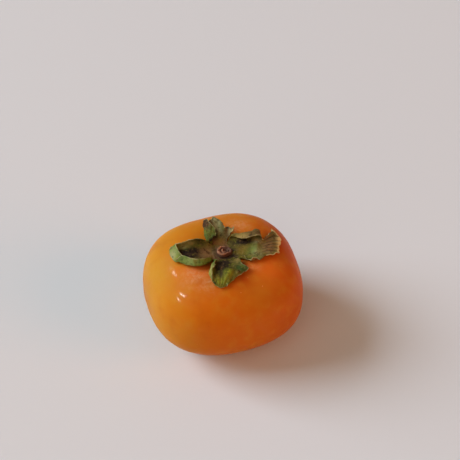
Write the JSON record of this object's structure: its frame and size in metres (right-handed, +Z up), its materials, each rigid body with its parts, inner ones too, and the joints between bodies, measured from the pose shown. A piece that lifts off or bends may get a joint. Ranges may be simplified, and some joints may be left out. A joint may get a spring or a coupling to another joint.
{
  "type": "persimmon",
  "caption": "Whole flat persimmon with rounded, softly squared sides, a dried curled calyx in the hollow at its top and a broken stem stub, standing on its blossom end.",
  "frame": {"origin": "on the floor plane, under the middle of the fruit's bounding box", "axes": "+Z up through the stem; +X and +Y lie across the fruit, +Y towards the lobe with the curled tip, +X towards the torn lobe"},
  "size_m": [0.076, 0.076, 0.0523],
  "materials": {
    "fruit_skin": "smooth waxy orange skin",
    "dried_calyx": "matt, leathery, green to brown",
    "stem_wood": "broken, rough",
    "dry_style": "dry, dark"
  },
  "bodies": {
    "root": {"fruit": "fruit_skin", "calyx": "dried_calyx", "stem_stub": "stem_wood", "style_remnant": "dry_style"}
  },
  "joints": []
}
